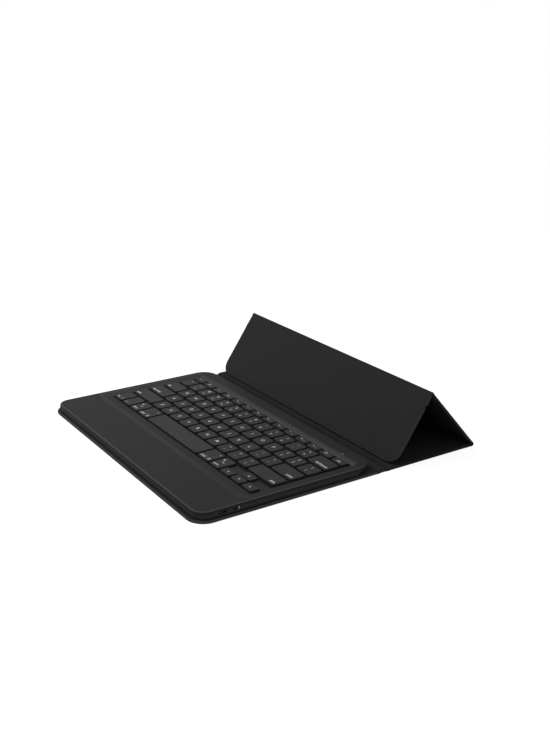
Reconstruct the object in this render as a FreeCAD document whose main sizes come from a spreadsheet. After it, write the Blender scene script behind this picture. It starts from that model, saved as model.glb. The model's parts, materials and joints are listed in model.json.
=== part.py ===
import FreeCAD, Part
import Sketcher
import math
import os

# A folding keyboard case for a tablet, standing open. Millimetres, +Z up, +X to the typist's right,
# +Y away from the typist. The origin is under the middle of the whole case, on the table.
doc = FreeCAD.newDocument("TabletKeyboardCase")

SIZES = {
    # cover panels, folds and their places
    "coverWidth": 314.0,
    "coverFront": -154.3,
    "coverCorner": 17.0,
    "panelThick": 2.6,
    "skinHalf": 0.6,
    "foldPlay": 0.05,
    "foldInset": 3.0,
    "baseFoldY": 35.2,
    "spineLength": 11.5,
    "floorLength": 105.4,
    "rearHalf": 1.3,
    "legLength": 85.5,
    "legLean": 48.9,
    "stripLength": 15.0,
    "flapLength": 60.8,
    "flapLean": 34.9,
    "flapCorner": 13.0,
    "bevelNarrow": 2.0,
    "bevelPeak": 3.2,
    "bevelRear": 3.4,
    "boardInset": 5.0,
    "liningInset": 1.6,
    "boardThick": 1.2,
    "liningThick": 0.6,
    "magnetLength": 60.0,
    "magnetDepth": 8.0,
    "magnetX": 62.0,
    "magnetMargin": 2.0,
    # keyboard casing
    "caseWidth": 308.4,
    "caseFront": -151.1,
    "caseRear": 34.2,
    "caseCorner": 13.0,
    "plinthInset": 1.6,
    "plinthTop": 2.9,
    "caseFloorTop": 3.7,
    "splitZ": 7.2,
    "deckZ": 9.5,
    "caseWall": 1.6,
    "shellWall": 2.0,
    "deckTaper": 14.0,
    "deckRound": 0.8,
    "deckThick": 1.6,
    # key well
    "wellWidth": 299.0,
    "wellFront": -106.0,
    "wellRear": 20.5,
    "wellCorner": 8.0,
    "rampFront": 7.0,
    "rampRear": 4.1,
    "rampSide": 5.5,
    "wellFloorZ": 7.4,
    "wellFloorThick": 0.9,
    "sinkDepth": 0.5,
    "sinkMargin": 0.6,
    # keys
    "layoutWidth": 280.5,
    "keyUnit": 19.14,
    "keyGap": 3.0,
    "keyDepth": 15.75,
    "rowPitch": 18.75,
    "functionCount": 14.0,
    "functionFront": 6.4,
    "functionDepth": 8.3,
    "numberFront": -11.8,
    "bottomFront": -90.9,
    "bottomDepth": 19.9,
    "halfKeyGap": 1.2,
    "keyTopZ": 9.1,
    "keyHeight": 2.4,
    "keyDraft": 8.3,
    "keyCorner": 1.1,
    "keyWall": 1.0,
    "keyPlay": 0.4,
    # parts inside the keyboard
    "plateThick": 0.6,
    "plateMargin": 2.5,
    "membraneThick": 0.3,
    "domeRadius": 3.0,
    "domeSmallRadius": 2.2,
    "domeTopZ": 6.4,
    "batteryLength": 112.0,
    "batteryDepth": 36.0,
    "batteryThick": 2.6,
    "batteryRound": 0.9,
    "batteryX": -20.0,
    "palmMidY": -126.5,
    "circuitLength": 62.0,
    "circuitDepth": 25.0,
    "circuitMidY": -120.5,
    "circuitThick": 0.8,
    "circuitZ": 4.4,
    # ports on the right side
    "portZ": 5.7,
    "usbY": -114.5,
    "usbWidth": 7.6,
    "usbHeight": 2.4,
    "usbDepth": 5.4,
    "usbShell": 0.3,
    "usbTongue": 0.7,
    "switchY": -127.0,
    "slotWidth": 8.0,
    "slotHeight": 2.4,
    "knobWidth": 3.4,
    "knobHeight": 1.9,
    "knobTravel": 3.6,
    "knobProud": 0.6,
    "switchDepth": 4.0,
    # status light in the deck
    "lightX": 119.8,
    "lightY": 21.6,
    "lightRadius": 0.9,
}

# the folds, from the keyboard round to the free edge
AXIS_Z = "Sizes.skinHalf"
SPINE_FOLD_Y = "(Sizes.baseFoldY + Sizes.spineLength)"
REAR_FOLD_Y = f"({SPINE_FOLD_Y} + Sizes.floorLength)"
REAR_LIFT = "(Sizes.rearHalf - Sizes.skinHalf)"
LEG_Y = f"({REAR_FOLD_Y} + {REAR_LIFT} * sin(Sizes.legLean))"
LEG_Z = f"(Sizes.rearHalf + {REAR_LIFT} * cos(Sizes.legLean))"
PEAK_Y = f"({LEG_Y} - Sizes.legLength * cos(Sizes.legLean))"
PEAK_Z = f"({LEG_Z} + Sizes.legLength * sin(Sizes.legLean))"
SEAM_Y = f"({PEAK_Y} - Sizes.stripLength * sin(Sizes.flapLean))"
SEAM_Z = f"({PEAK_Z} - Sizes.stripLength * cos(Sizes.flapLean))"
LEG_TURN = "180 - Sizes.legLean"
FLAP_TURN = "270 - Sizes.flapLean"
FOLD_LENGTH = "(Sizes.coverWidth - 2 * Sizes.foldInset)"
PANEL_END = "(Sizes.skinHalf + Sizes.foldPlay)"
REAR_END = "(Sizes.rearHalf + Sizes.foldPlay)"
INNER_FACE = "(Sizes.panelThick - Sizes.skinHalf)"
# how a panel ends at a fold: bevel length, gap to the fold, height of the fold over the skin
NARROW_END = ("Sizes.bevelNarrow", PANEL_END, "0")
PEAK_END = ("Sizes.bevelPeak", PANEL_END, "0")
SOFT_END = ("Sizes.bevelRear", REAR_END, REAR_LIFT)
CASE_RIGHT = "(Sizes.caseWidth / 2)"
KEY_FLARE = "(Sizes.keyHeight * tan(Sizes.keyDraft))"
KEY_FOOT_Z = "(Sizes.keyTopZ - Sizes.keyHeight)"
WELL_UNDER_Z = "(Sizes.wellFloorZ - Sizes.wellFloorThick)"
PLATE_TOP = "(Sizes.caseFloorTop + Sizes.plateThick)"
MEMBRANE_TOP = f"({PLATE_TOP} + Sizes.membraneThick)"
HALF_KEY_DEPTH = "((Sizes.bottomDepth - Sizes.halfKeyGap) / 2)"

sheet = doc.addObject("Spreadsheet::Sheet", "Sizes")
pieces = []


def fill_sheet():
    for row, (alias, value) in enumerate(SIZES.items(), start=1):
        sheet.set(f"A{row}", alias)
        sheet.set(f"B{row}", str(value))
        sheet.setAlias(f"B{row}", alias)
    doc.recompute()


def value_of(expression):
    return float(sheet.evalExpression(expression.replace("Sizes.", "")))


def bind(target, **expressions):
    for name, expression in expressions.items():
        target.setExpression(name.replace("__", "."), expression)


def new_body(label):
    body = doc.addObject("PartDesign::Body", label)
    body.Label = label
    body.AllowCompound = True
    pieces.append(body)
    return body


def set_on_fold(body, y, z, turn="0"):
    # a panel's own frame starts at its fold: +Y runs along the panel, +Z is its inner face
    body.Placement = FreeCAD.Placement(
        FreeCAD.Vector(0, 0, 0), FreeCAD.Rotation(FreeCAD.Vector(1, 0, 0), value_of(turn))
    )
    bind(body, Placement__Base__y=y, Placement__Base__z=z, Placement__Rotation__Angle=turn)


def sketch_on(body, name, role, offset="0"):
    sketch = body.newObject("Sketcher::SketchObject", name)
    plane = next(feature for feature in body.Origin.OriginFeatures if feature.Role == role)
    sketch.AttachmentSupport = [(plane, "")]
    sketch.MapMode = "FlatFace"
    bind(sketch, AttachmentOffset__Base__z=offset)
    return sketch


def draw_polygon(sketch, corners):
    points = [FreeCAD.Vector(value_of(x), value_of(y), 0) for x, y in corners]
    count = len(points)
    for i in range(count):
        sketch.addGeometry(Part.LineSegment(points[i], points[(i + 1) % count]))
    for i in range(count):
        sketch.addConstraint(Sketcher.Constraint("Coincident", i, 2, (i + 1) % count, 1))
    for i, (x, y) in enumerate(corners):
        for kind, expression in (("DistanceX", x), ("DistanceY", y)):
            rule = Sketcher.Constraint(kind, -1, 1, i, 1, value_of(expression))
            sketch.setExpression(f"Constraints[{sketch.addConstraint(rule)}]", expression)


def draw_rounded_rectangle(sketch, left, right, front, rear, radius):
    x0, x1, y0, y1, r = (value_of(e) for e in (left, right, front, rear, radius))
    front_and_right = [(x0 + r, y0, x1 - r, y0), (x1, y0 + r, x1, y1 - r)]
    rear_and_left = [(x1 - r, y1, x0 + r, y1), (x0, y1 - r, x0, y0 + r)]
    centres = [(x1 - r, y0 + r, 270), (x1 - r, y1 - r, 0), (x0 + r, y1 - r, 90), (x0 + r, y0 + r, 180)]
    up = FreeCAD.Vector(0, 0, 1)
    for ax, ay, bx, by in front_and_right + rear_and_left:
        sketch.addGeometry(Part.LineSegment(FreeCAD.Vector(ax, ay, 0), FreeCAD.Vector(bx, by, 0)))
    for cx, cy, start in centres:
        circle = Part.Circle(FreeCAD.Vector(cx, cy, 0), up, r)
        arc = Part.ArcOfCircle(circle, math.radians(start), math.radians(start + 90))
        sketch.addGeometry(arc)
    for i in range(4):
        sketch.addConstraint(Sketcher.Constraint("Tangent", i, 2, 4 + i, 1))
        sketch.addConstraint(Sketcher.Constraint("Tangent", 4 + i, 2, (i + 1) % 4, 1))
    for i, kind in enumerate(("Horizontal", "Vertical", "Horizontal", "Vertical")):
        sketch.addConstraint(Sketcher.Constraint(kind, i))
    for i in (5, 6, 7):
        sketch.addConstraint(Sketcher.Constraint("Equal", 4, i))
    radius_rule = sketch.addConstraint(Sketcher.Constraint("Radius", 4, r))
    sketch.setExpression(f"Constraints[{radius_rule}]", radius)
    kinds = ("DistanceY", "DistanceX", "DistanceY", "DistanceX")
    for line, (kind, expression) in enumerate(zip(kinds, (front, right, rear, left))):
        rule = Sketcher.Constraint(kind, -1, 1, line, 1, value_of(expression))
        sketch.setExpression(f"Constraints[{sketch.addConstraint(rule)}]", expression)


def pad(body, sketch, length, symmetric=False):
    feature = body.newObject("PartDesign::Pad", f"{body.Label}_pad")
    feature.Profile = sketch
    feature.SideType = "Symmetric" if symmetric else "One side"
    bind(feature, Length=length)
    return feature


def add_box(body, kind, left, front, bottom, length, width, height):
    box = body.newObject(f"PartDesign::{kind}Box", f"{body.Label}_box")
    bind(box, Length=length, Width=width, Height=height)
    bind(box, Placement__Base__x=left, Placement__Base__y=front, Placement__Base__z=bottom)
    box.Refine = False
    return box


def pattern_along_x(body, originals, count, pitch):
    pattern = body.newObject("PartDesign::LinearPattern", f"{body.Label}_row")
    pattern.Originals = originals
    x_axis = next(feature for feature in body.Origin.OriginFeatures if feature.Role == "X_Axis")
    pattern.Direction = (x_axis, [""])
    pattern.Occurrences = count
    pattern.Refine = False
    bind(pattern, Length=f"{pitch} * {count - 1}")
    body.Tip = pattern


def round_edges(body, keep, radius):
    body.recompute(True)
    base = body.Tip
    chosen = [f"Edge{i}" for i, edge in enumerate(base.Shape.Edges, start=1) if keep(edge)]
    fillet = body.newObject("PartDesign::Fillet", f"{body.Label}_round")
    fillet.Base = (base, chosen)
    bind(fillet, Radius=radius)


def corner_test(y):
    # edges that stand across the panel, at its two corners at y
    def keep(edge):
        box = edge.BoundBox
        upright = box.XLength < 0.01 and box.YLength < 0.01
        return upright and abs(box.YMin - y) < 0.5

    return keep


def level_test(z):
    # edges that lie flat at one height
    def keep(edge):
        return abs(edge.BoundBox.ZMin - z) < 0.01 and abs(edge.BoundBox.ZMax - z) < 0.01

    return keep


def fold_bead(label, y, z, radius="Sizes.skinHalf"):
    bead = doc.addObject("Part::Cylinder", label)
    bead.Label = label
    bead.Placement.Rotation = FreeCAD.Rotation(FreeCAD.Vector(0, 1, 0), 90)
    bind(bead, Radius=radius, Height=FOLD_LENGTH)
    bind(bead, Placement__Base__x=f"-{FOLD_LENGTH} / 2", Placement__Base__y=y, Placement__Base__z=z)
    pieces.append(bead)


def bevel_foot(bevel, gap, lift):
    return f"({lift} + ({INNER_FACE} - {lift}) * {gap} / {bevel})"


def panel_profile(length, start, end):
    # section across a panel: bevelled towards each fold, full thickness between the bevels
    outer = "-Sizes.skinHalf"
    corners = [(start[0], INNER_FACE), (start[1], bevel_foot(*start)), (start[1], outer)]
    if not end:
        return corners + [(length, outer), (length, INNER_FACE)]
    bevel, gap, _ = end
    corners += [(f"{length} - {gap}", outer), (f"{length} - {gap}", bevel_foot(*end))]
    return corners + [(f"{length} - {bevel}", INNER_FACE)]


def panel_cover(label, length, start, end):
    body = new_body(label)
    sketch = sketch_on(body, f"{label}_section", "YZ_Plane")
    draw_polygon(sketch, panel_profile(length, start, end))
    pad(body, sketch, "Sizes.coverWidth", symmetric=True)
    return body


def layer_sizes(length, start, end, inset):
    front = f"({start[0]} + {inset})"
    rear = f"({length} - {end[0] if end else 0} - {inset})"
    width = f"({rear} - {front})"
    return f"-Sizes.coverWidth / 2 + {inset}", front, f"Sizes.coverWidth - 2 * {inset}", width


def magnet_places(front):
    # two flat bars beside the middle of the panel
    half = "Sizes.magnetLength / 2"
    return [(f"{side} * Sizes.magnetX - {half}", front) for side in (-1, 1)]


def panel_stack(name, length, start, end, frame, magnet_front=None):
    # the outer cover is a tray; a stiff board lies in it, and the lining closes it
    cover = panel_cover(f"{name}_cover", length, start, end)
    board_z = f"{INNER_FACE} - Sizes.liningThick - Sizes.boardThick"
    lining_z = f"{INNER_FACE} - Sizes.liningThick"
    layers = [cover]
    for kind, inset, bottom in (
        ("board", "Sizes.boardInset", board_z),
        ("lining", "Sizes.liningInset", lining_z),
    ):
        left, front, across, along = layer_sizes(length, start, end, inset)
        sheet_size = (left, front, bottom, across, along, f"Sizes.{kind}Thick")
        add_box(cover, "Subtractive", *sheet_size)
        layers.append(new_body(f"{name}_{kind}"))
        add_box(layers[-1], "Additive", *sheet_size)
    board = layers[1]
    if magnet_front:
        layers.append(new_body(f"{name}_magnets"))
        for x, y in magnet_places(magnet_front):
            bar = (x, y, board_z, "Sizes.magnetLength", "Sizes.magnetDepth", "Sizes.boardThick")
            add_box(board, "Subtractive", *bar)
            add_box(layers[-1], "Additive", *bar)
    for body in layers:
        set_on_fold(body, *frame)
    return layers


def make_cover():
    base = new_body("base_cover")
    section = sketch_on(base, "base_section", "YZ_Plane")
    rear = f"Sizes.baseFoldY - {PANEL_END}"
    rise = "2 * Sizes.skinHalf"
    bevel_start = "Sizes.baseFoldY - Sizes.bevelNarrow"
    outline = [("Sizes.coverFront", "0"), (rear, "0"), (rear, rise)]
    outline += [(bevel_start, "Sizes.panelThick"), ("Sizes.coverFront", "Sizes.panelThick")]
    draw_polygon(section, outline)
    pad(base, section, "Sizes.coverWidth", symmetric=True)
    round_edges(base, corner_test(SIZES["coverFront"]), "Sizes.coverCorner")
    fold_bead("base_fold", "Sizes.baseFoldY", AXIS_Z)

    spine = new_body("spine_cover")
    left = "-Sizes.coverWidth / 2 + Sizes.foldInset / 2"
    across = "Sizes.coverWidth - Sizes.foldInset"
    along = f"Sizes.spineLength - 2 * {PANEL_END}"
    add_box(spine, "Additive", left, PANEL_END, "-Sizes.skinHalf", across, along, "2 * Sizes.skinHalf")
    set_on_fold(spine, "Sizes.baseFoldY", AXIS_Z)
    fold_bead("spine_fold", SPINE_FOLD_Y, AXIS_Z)

    floor_frame = (SPINE_FOLD_Y, AXIS_Z)
    magnet_front = "Sizes.bevelNarrow + Sizes.boardInset"
    panel_stack("floor", "Sizes.floorLength", NARROW_END, SOFT_END, floor_frame, magnet_front)
    fold_bead("rear_fold", REAR_FOLD_Y, "Sizes.rearHalf", "Sizes.rearHalf")

    leg_frame = (LEG_Y, LEG_Z, LEG_TURN)
    panel_stack("leg", "Sizes.legLength", SOFT_END, PEAK_END, leg_frame)
    fold_bead("peak_fold", PEAK_Y, PEAK_Z)

    strip = panel_cover("edge_strip", "Sizes.stripLength", PEAK_END, NARROW_END)
    set_on_fold(strip, PEAK_Y, PEAK_Z, FLAP_TURN)
    fold_bead("seam_fold", SEAM_Y, SEAM_Z)

    flap_frame = (SEAM_Y, SEAM_Z, FLAP_TURN)
    magnet_front = "Sizes.flapLength - Sizes.boardInset - Sizes.magnetDepth - Sizes.magnetMargin"
    layers = panel_stack("flap", "Sizes.flapLength", NARROW_END, None, flap_frame, magnet_front)
    flap, lining = layers[0], layers[2]
    lining_end = SIZES["flapLength"] - SIZES["liningInset"]
    for body in (lining, flap):
        round_edges(body, corner_test(lining_end), "Sizes.flapCorner - Sizes.liningInset")
    round_edges(flap, corner_test(SIZES["flapLength"]), "Sizes.flapCorner")


def case_outline(body, name, z, inset="0"):
    sketch = sketch_on(body, name, "XY_Plane", z)
    side = f"({CASE_RIGHT} - {inset})"
    draw_rounded_rectangle(
        sketch,
        f"-{side}",
        side,
        f"Sizes.caseFront + {inset}",
        f"Sizes.caseRear - {inset}",
        f"Sizes.caseCorner - {inset}",
    )
    return sketch


def make_bottom_case():
    body = new_body("bottom_case")
    plinth = case_outline(body, "plinth_outline", "Sizes.panelThick", "Sizes.plinthInset")
    pad(body, plinth, "Sizes.plinthTop - Sizes.panelThick")
    tray = case_outline(body, "tray_outline", "Sizes.plinthTop")
    pad(body, tray, "Sizes.splitZ - Sizes.plinthTop")
    hollow = case_outline(body, "tray_hollow", "Sizes.caseFloorTop", "Sizes.caseWall")
    pocket_up(body, "tray_room", hollow, "Sizes.splitZ - Sizes.caseFloorTop")
    wall = f"{CASE_RIGHT} - Sizes.caseWall"
    for y, width, height in (
        ("Sizes.usbY", "Sizes.usbWidth", "Sizes.usbHeight"),
        ("Sizes.switchY", "Sizes.slotWidth", "Sizes.slotHeight"),
    ):
        front = f"{y} - {width} / 2"
        bottom = f"Sizes.portZ - {height} / 2"
        add_box(body, "Subtractive", wall, front, bottom, "Sizes.caseWall", width, height)


def well_outline(body, name, z, at_foot):
    # the key well is widest at its rim; each side slopes in to the foot
    front, rear, side = "Sizes.wellFront", "Sizes.wellRear", "Sizes.wellWidth / 2"
    corner = "Sizes.wellCorner"
    if at_foot:
        front, rear = f"{front} + Sizes.rampFront", f"{rear} - Sizes.rampRear"
        side, corner = f"({side} - Sizes.rampSide)", f"{corner} - Sizes.rampSide / 2"
    sketch = sketch_on(body, name, "XY_Plane", z)
    draw_rounded_rectangle(sketch, f"-{side}", side, front, rear, corner)
    return sketch


def pocket_up(body, name, sketch, depth):
    pocket = body.newObject("PartDesign::Pocket", name)
    pocket.Profile = sketch
    pocket.Reversed = True
    bind(pocket, Length=depth)


def make_top_shell():
    # a frame round the keys: its deck slopes gently down into the key well
    body = new_body("top_shell")
    outline = case_outline(body, "shell_outline", "Sizes.splitZ")
    block = pad(body, outline, "Sizes.deckZ - Sizes.splitZ")
    bind(block, TaperAngle="-Sizes.deckTaper")
    round_edges(body, level_test(SIZES["deckZ"]), "Sizes.deckRound")
    ramp = body.newObject("PartDesign::SubtractiveLoft", "key_well")
    ramp.Profile = well_outline(body, "well_rim", "Sizes.deckZ", False)
    ramp.Sections = [well_outline(body, "well_foot", "Sizes.wellFloorZ", True)]
    ramp.Ruled = True
    through = well_outline(body, "well_opening", "Sizes.splitZ", True)
    pocket_up(body, "frame_opening", through, "Sizes.wellFloorZ - Sizes.splitZ")
    hollow = sketch_on(body, "palm_hollow", "XY_Plane", "Sizes.splitZ")
    wall = "Sizes.shellWall"
    side = f"({CASE_RIGHT} - {wall})"
    front, rear = f"Sizes.caseFront + {wall}", f"Sizes.wellFront - {wall}"
    draw_rounded_rectangle(hollow, f"-{side}", side, front, rear, f"Sizes.caseCorner - {wall}")
    pocket_up(body, "palm_room", hollow, "Sizes.deckZ - Sizes.deckThick - Sizes.splitZ")
    light = body.newObject("PartDesign::SubtractiveCylinder", "light_hole")
    place_light(light)


def make_key_frame(spots):
    # the floor of the key well, with an opening for every key
    frame = new_body("key_frame")
    outline = well_outline(frame, "frame_outline", WELL_UNDER_Z, True)
    pad(frame, outline, "Sizes.wellFloorThick")
    # between the keys the frame lies lower, so that the gaps are deep
    margin, depth = "Sizes.sinkMargin", "Sizes.sinkDepth"
    add_box(
        frame,
        "Subtractive",
        f"-Sizes.layoutWidth / 2 - {margin}",
        f"Sizes.bottomFront - {KEY_FLARE} - {margin}",
        f"Sizes.wellFloorZ - {depth}",
        f"Sizes.layoutWidth + 2 * {margin}",
        f"Sizes.functionFront + Sizes.functionDepth - Sizes.bottomFront + 2 * ({KEY_FLARE} + {margin})",
        depth,
    )
    tool = doc.addObject("PartDesign::Body", "key_openings")
    tool.AllowCompound = True
    spread = f"({KEY_FLARE} + Sizes.keyPlay)"
    margin = f"(Sizes.keyGap / 2 - {spread})"
    for node, left, slot, front, depth, count in spots:
        size = (f"{slot} - 2 * {margin}", f"{depth} + 2 * {spread}", "Sizes.wellFloorThick")
        block = add_box(tool, "Additive", f"{left} + {margin}", f"{front} - {spread}", WELL_UNDER_Z, *size)
        if count > 1:
            pattern_along_x(tool, [block], count, slot)
    openings = frame.newObject("PartDesign::Boolean", "openings")
    openings.Type = "Cut"
    openings.addObject(tool)


def key_spots():
    # each spot: node, left edge of its first slot, slot width, key front, key depth, how many in the run
    unit = "Sizes.keyUnit"
    start = "-Sizes.layoutWidth / 2"
    function_slot = "(Sizes.layoutWidth / Sizes.functionCount)"
    function_count = int(SIZES["functionCount"])
    function_place = ("Sizes.functionFront", "Sizes.functionDepth")
    spots = [("function_keys", start, function_slot, *function_place, function_count)]
    rows = [
        [("number_keys", 1.0, 13), ("backspace_key", 1.655, 1)],
        [("tab_key", 1.5, 1), ("upper_letter_keys", 1.0, 12), ("upper_letter_keys", 1.155, 1)],
        [("caps_lock_key", 1.82, 1), ("home_letter_keys", 1.0, 11), ("enter_key", 1.835, 1)],
        [("left_shift_key", 2.32, 1), ("lower_letter_keys", 1.0, 10), ("right_shift_key", 2.335, 1)],
    ]
    for index, row in enumerate(rows):
        front = f"Sizes.numberFront - {index} * Sizes.rowPitch"
        used = 0.0
        for node, units, count in row:
            left = f"{start} + {used:.3f} * {unit}"
            spots.append((node, left, f"({units} * {unit})", front, "Sizes.keyDepth", count))
            used += units * count
    used = 0.0
    low = "Sizes.bottomFront"
    high = f"Sizes.bottomFront + {HALF_KEY_DEPTH} + Sizes.halfKeyGap"
    bottom_row = [
        ("fn_key", 0.975, low, "Sizes.bottomDepth"),
        ("ctrl_key", 0.965, low, "Sizes.bottomDepth"),
        ("left_alt_key", 0.97, low, "Sizes.bottomDepth"),
        ("left_cmd_key", 1.19, low, "Sizes.bottomDepth"),
        ("space_bar", 5.465, low, "Sizes.bottomDepth"),
        ("right_cmd_key", 1.18, low, "Sizes.bottomDepth"),
        ("right_alt_key", 0.98, low, "Sizes.bottomDepth"),
        ("left_arrow_key", 0.976, low, HALF_KEY_DEPTH),
        ("up_arrow_key", 0.977, high, HALF_KEY_DEPTH),
        ("down_arrow_key", 0.977, low, HALF_KEY_DEPTH),
        ("right_arrow_key", 0.977, low, HALF_KEY_DEPTH),
    ]
    for node, units, front, depth in bottom_row:
        left = f"{start} + {used:.3f} * {unit}"
        spots.append((node, left, f"({units} * {unit})", front, depth, 1))
        used += units if node != "up_arrow_key" else 0
    return spots


def make_keys(spots):
    bodies = {}
    for spot in spots:
        node = spot[0]
        if node not in bodies:
            bodies[node] = new_body(node)
        add_key_run(bodies[node], spot)


def cut_corners(x0, x1, y0, y1, cut):
    # a rectangle with its four corners cut off
    return [
        (f"{x0} + {cut}", y0),
        (f"{x1} - {cut}", y0),
        (x1, f"{y0} + {cut}"),
        (x1, f"{y1} - {cut}"),
        (f"{x1} - {cut}", y1),
        (f"{x0} + {cut}", y1),
        (x0, f"{y1} - {cut}"),
        (x0, f"{y0} + {cut}"),
    ]


def add_key_run(body, spot):
    # a cap flares towards its skirt and is hollow underneath
    node, left, slot, front, depth, count = spot
    cap_left = f"{left} + Sizes.keyGap / 2"
    width = f"({slot} - Sizes.keyGap)"
    x0, x1 = f"{cap_left} - {KEY_FLARE}", f"{cap_left} + {width} + {KEY_FLARE}"
    y0, y1 = f"{front} - {KEY_FLARE}", f"{front} + {depth} + {KEY_FLARE}"
    skirt = sketch_on(body, f"{node}_skirt", "XY_Plane", KEY_FOOT_Z)
    draw_polygon(skirt, cut_corners(x0, x1, y0, y1, "Sizes.keyCorner"))
    cap = pad(body, skirt, "Sizes.keyHeight")
    bind(cap, TaperAngle="-Sizes.keyDraft")
    wall = "Sizes.keyWall"
    hollow = add_box(
        body,
        "Subtractive",
        f"{cap_left} + {wall}",
        f"{front} + {wall}",
        KEY_FOOT_Z,
        f"{width} - 2 * {wall}",
        f"{depth} - 2 * {wall}",
        f"Sizes.keyHeight - {wall}",
    )
    if count > 1:
        pattern_along_x(body, [cap, hollow], count, slot)


def make_key_layers(spots):
    margin = "Sizes.plateMargin"
    left = f"-Sizes.layoutWidth / 2 - {margin}"
    across = f"Sizes.layoutWidth + 2 * {margin}"
    front = f"Sizes.bottomFront - {margin}"
    along = f"Sizes.functionFront + Sizes.functionDepth - Sizes.bottomFront + 2 * {margin}"
    layers = (
        ("key_plate", "Sizes.caseFloorTop", "Sizes.plateThick"),
        ("membrane_sheet", PLATE_TOP, "Sizes.membraneThick"),
    )
    for label, bottom, thick in layers:
        add_box(new_body(label), "Additive", left, front, bottom, across, along, thick)
    domes = new_body("rubber_domes")
    for node, left, slot, front, depth, count in spots:
        small = value_of(depth) < SIZES["keyDepth"] - 1
        dome = domes.newObject("PartDesign::AdditivePrism", "dome")
        dome.Polygon = 8
        dome.Refine = False
        bind(dome, Circumradius="Sizes.domeSmallRadius" if small else "Sizes.domeRadius")
        bind(dome, Height=f"Sizes.domeTopZ - {MEMBRANE_TOP}")
        bind(dome, Placement__Base__x=f"{left} + {slot} / 2", Placement__Base__y=f"{front} + {depth} / 2")
        bind(dome, Placement__Base__z=MEMBRANE_TOP)
        if count > 1:
            pattern_along_x(domes, [dome], count, slot)


def make_battery():
    body = new_body("battery_cell")
    front = "Sizes.palmMidY - Sizes.batteryDepth / 2"
    left = "Sizes.batteryX - Sizes.batteryLength / 2"
    size = ("Sizes.batteryLength", "Sizes.batteryDepth", "Sizes.batteryThick")
    add_box(body, "Additive", left, front, "Sizes.caseFloorTop", *size)
    round_edges(body, runs_along_x, "Sizes.batteryRound")


def runs_along_x(edge):
    box = edge.BoundBox
    return box.YLength < 0.01 and box.ZLength < 0.01


def make_circuit():
    right = f"({CASE_RIGHT} - Sizes.caseWall)"
    board = new_body("controller_board")
    left = f"{right} - Sizes.circuitLength"
    front = "Sizes.circuitMidY - Sizes.circuitDepth / 2"
    circuit_size = ("Sizes.circuitLength", "Sizes.circuitDepth", "Sizes.circuitThick")
    add_box(board, "Additive", left, front, "Sizes.circuitZ", *circuit_size)
    usb_front = "Sizes.usbY - Sizes.usbWidth / 2"
    usb_bottom = "Sizes.portZ - Sizes.usbHeight / 2"
    usb_left = f"{CASE_RIGHT} - Sizes.usbDepth"
    usb_size = ("Sizes.usbDepth", "Sizes.usbWidth", "Sizes.usbHeight")
    add_box(board, "Subtractive", usb_left, usb_front, usb_bottom, *usb_size)
    shell = new_body("usb_shell")
    add_box(shell, "Additive", usb_left, usb_front, usb_bottom, *usb_size)
    wall = "Sizes.usbShell"
    add_box(
        shell,
        "Subtractive",
        f"{usb_left} + {wall}",
        f"{usb_front} + {wall}",
        f"{usb_bottom} + {wall}",
        f"Sizes.usbDepth - {wall}",
        f"Sizes.usbWidth - 2 * {wall}",
        f"Sizes.usbHeight - 2 * {wall}",
    )
    tongue = new_body("usb_tongue")
    add_box(
        tongue,
        "Additive",
        f"{usb_left} + {wall}",
        f"{usb_front} + 4 * {wall}",
        "Sizes.portZ - Sizes.usbTongue / 2",
        f"Sizes.usbDepth - 4 * {wall}",
        f"Sizes.usbWidth - 8 * {wall}",
        "Sizes.usbTongue",
    )
    make_switch(board, right)


def make_switch(board, right):
    housing_left = f"{right} - Sizes.switchDepth"
    housing_front = "Sizes.switchY - Sizes.slotWidth / 2"
    housing_bottom = "Sizes.portZ - Sizes.slotHeight / 2"
    size = ("Sizes.switchDepth", "Sizes.slotWidth", "Sizes.slotHeight")
    add_box(board, "Subtractive", housing_left, housing_front, housing_bottom, *size)
    housing = new_body("switch_housing")
    add_box(housing, "Additive", housing_left, housing_front, housing_bottom, *size)
    knob = new_body("power_switch_knob")
    play = "Sizes.foldPlay"
    knob_front = "Sizes.switchY - (Sizes.knobTravel + Sizes.knobWidth) / 2"
    knob_length = f"Sizes.caseWall + Sizes.knobProud - {play}"
    knob_bottom = "Sizes.portZ - Sizes.knobHeight / 2"
    knob_size = (knob_length, "Sizes.knobWidth", "Sizes.knobHeight")
    add_box(knob, "Additive", f"{right} + {play}", knob_front, knob_bottom, *knob_size)


def place_light(cylinder):
    bind(cylinder, Radius="Sizes.lightRadius", Height="Sizes.deckZ - Sizes.splitZ")
    bind(cylinder, Placement__Base__x="Sizes.lightX", Placement__Base__y="Sizes.lightY")
    bind(cylinder, Placement__Base__z="Sizes.splitZ")


def make_status_light():
    light = doc.addObject("Part::Cylinder", "status_light")
    light.Label = "status_light"
    place_light(light)
    pieces.append(light)


def write_parts():
    doc.recompute()
    failed = [item.Name for item in doc.Objects if {"Invalid", "Error"} & set(item.State)]
    if failed:
        raise RuntimeError(f"failed features: {failed}")
    os.makedirs("parts", exist_ok=True)
    for piece in pieces:
        shape = piece.Shape
        if shape.isNull() or not shape.isValid():
            raise RuntimeError(f"{piece.Label} has no valid shape")
        shape.exportStep(f"parts/{piece.Label}.step")
        print(f"{piece.Label}: {len(shape.Solids)} solids, {shape.Volume / 1000:.2f} cm3")


def main():
    fill_sheet()
    spots = key_spots()
    make_cover()
    make_bottom_case()
    make_top_shell()
    make_key_frame(spots)
    make_key_layers(spots)
    make_keys(spots)
    make_battery()
    make_circuit()
    make_status_light()
    write_parts()


main()
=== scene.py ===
import json
import math

import bmesh
import bpy
from mathutils import Matrix, Vector

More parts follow.
